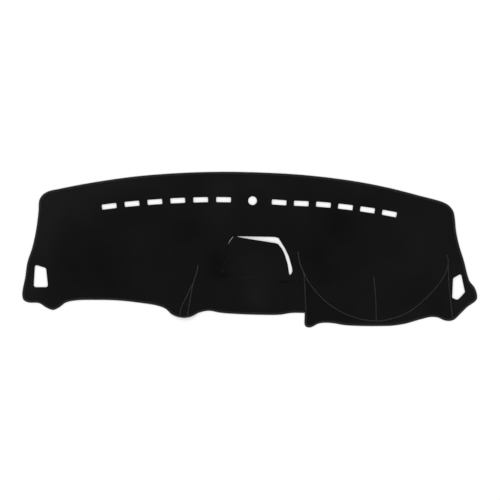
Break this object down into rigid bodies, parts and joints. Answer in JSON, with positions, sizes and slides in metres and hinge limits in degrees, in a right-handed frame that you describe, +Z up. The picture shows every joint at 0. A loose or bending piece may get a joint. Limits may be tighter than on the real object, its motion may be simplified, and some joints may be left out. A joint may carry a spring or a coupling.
{
  "type": "dashboard cover mat",
  "caption": "Black pile cloth cover mat for the top of a right-hand-drive dashboard, with a row of demister slots, a sensor hole, a lid flap and a sewn hood over the instruments.",
  "frame": {"origin": "the middle of the mat's length and depth, on the surface that it lies on", "axes": "+X along the windscreen towards the driver's end, +Y towards the windscreen, +Z up"},
  "size_m": [1.4003, 0.4798, 0.026],
  "materials": {
    "cloth": "matt pile",
    "thread": "satin thread"
  },
  "bodies": {
    "root": {"main_panel": "cloth", "hood_fascia": "cloth", "gusset": "cloth", "edge_overlock": "thread", "hood_arc_seam": "thread", "hood_left_seam": "thread", "hood_right_seam": "thread", "hood_dart_seam": "thread", "gusset_left_seam": "thread", "gusset_right_seam": "thread"}
  },
  "joints": []
}
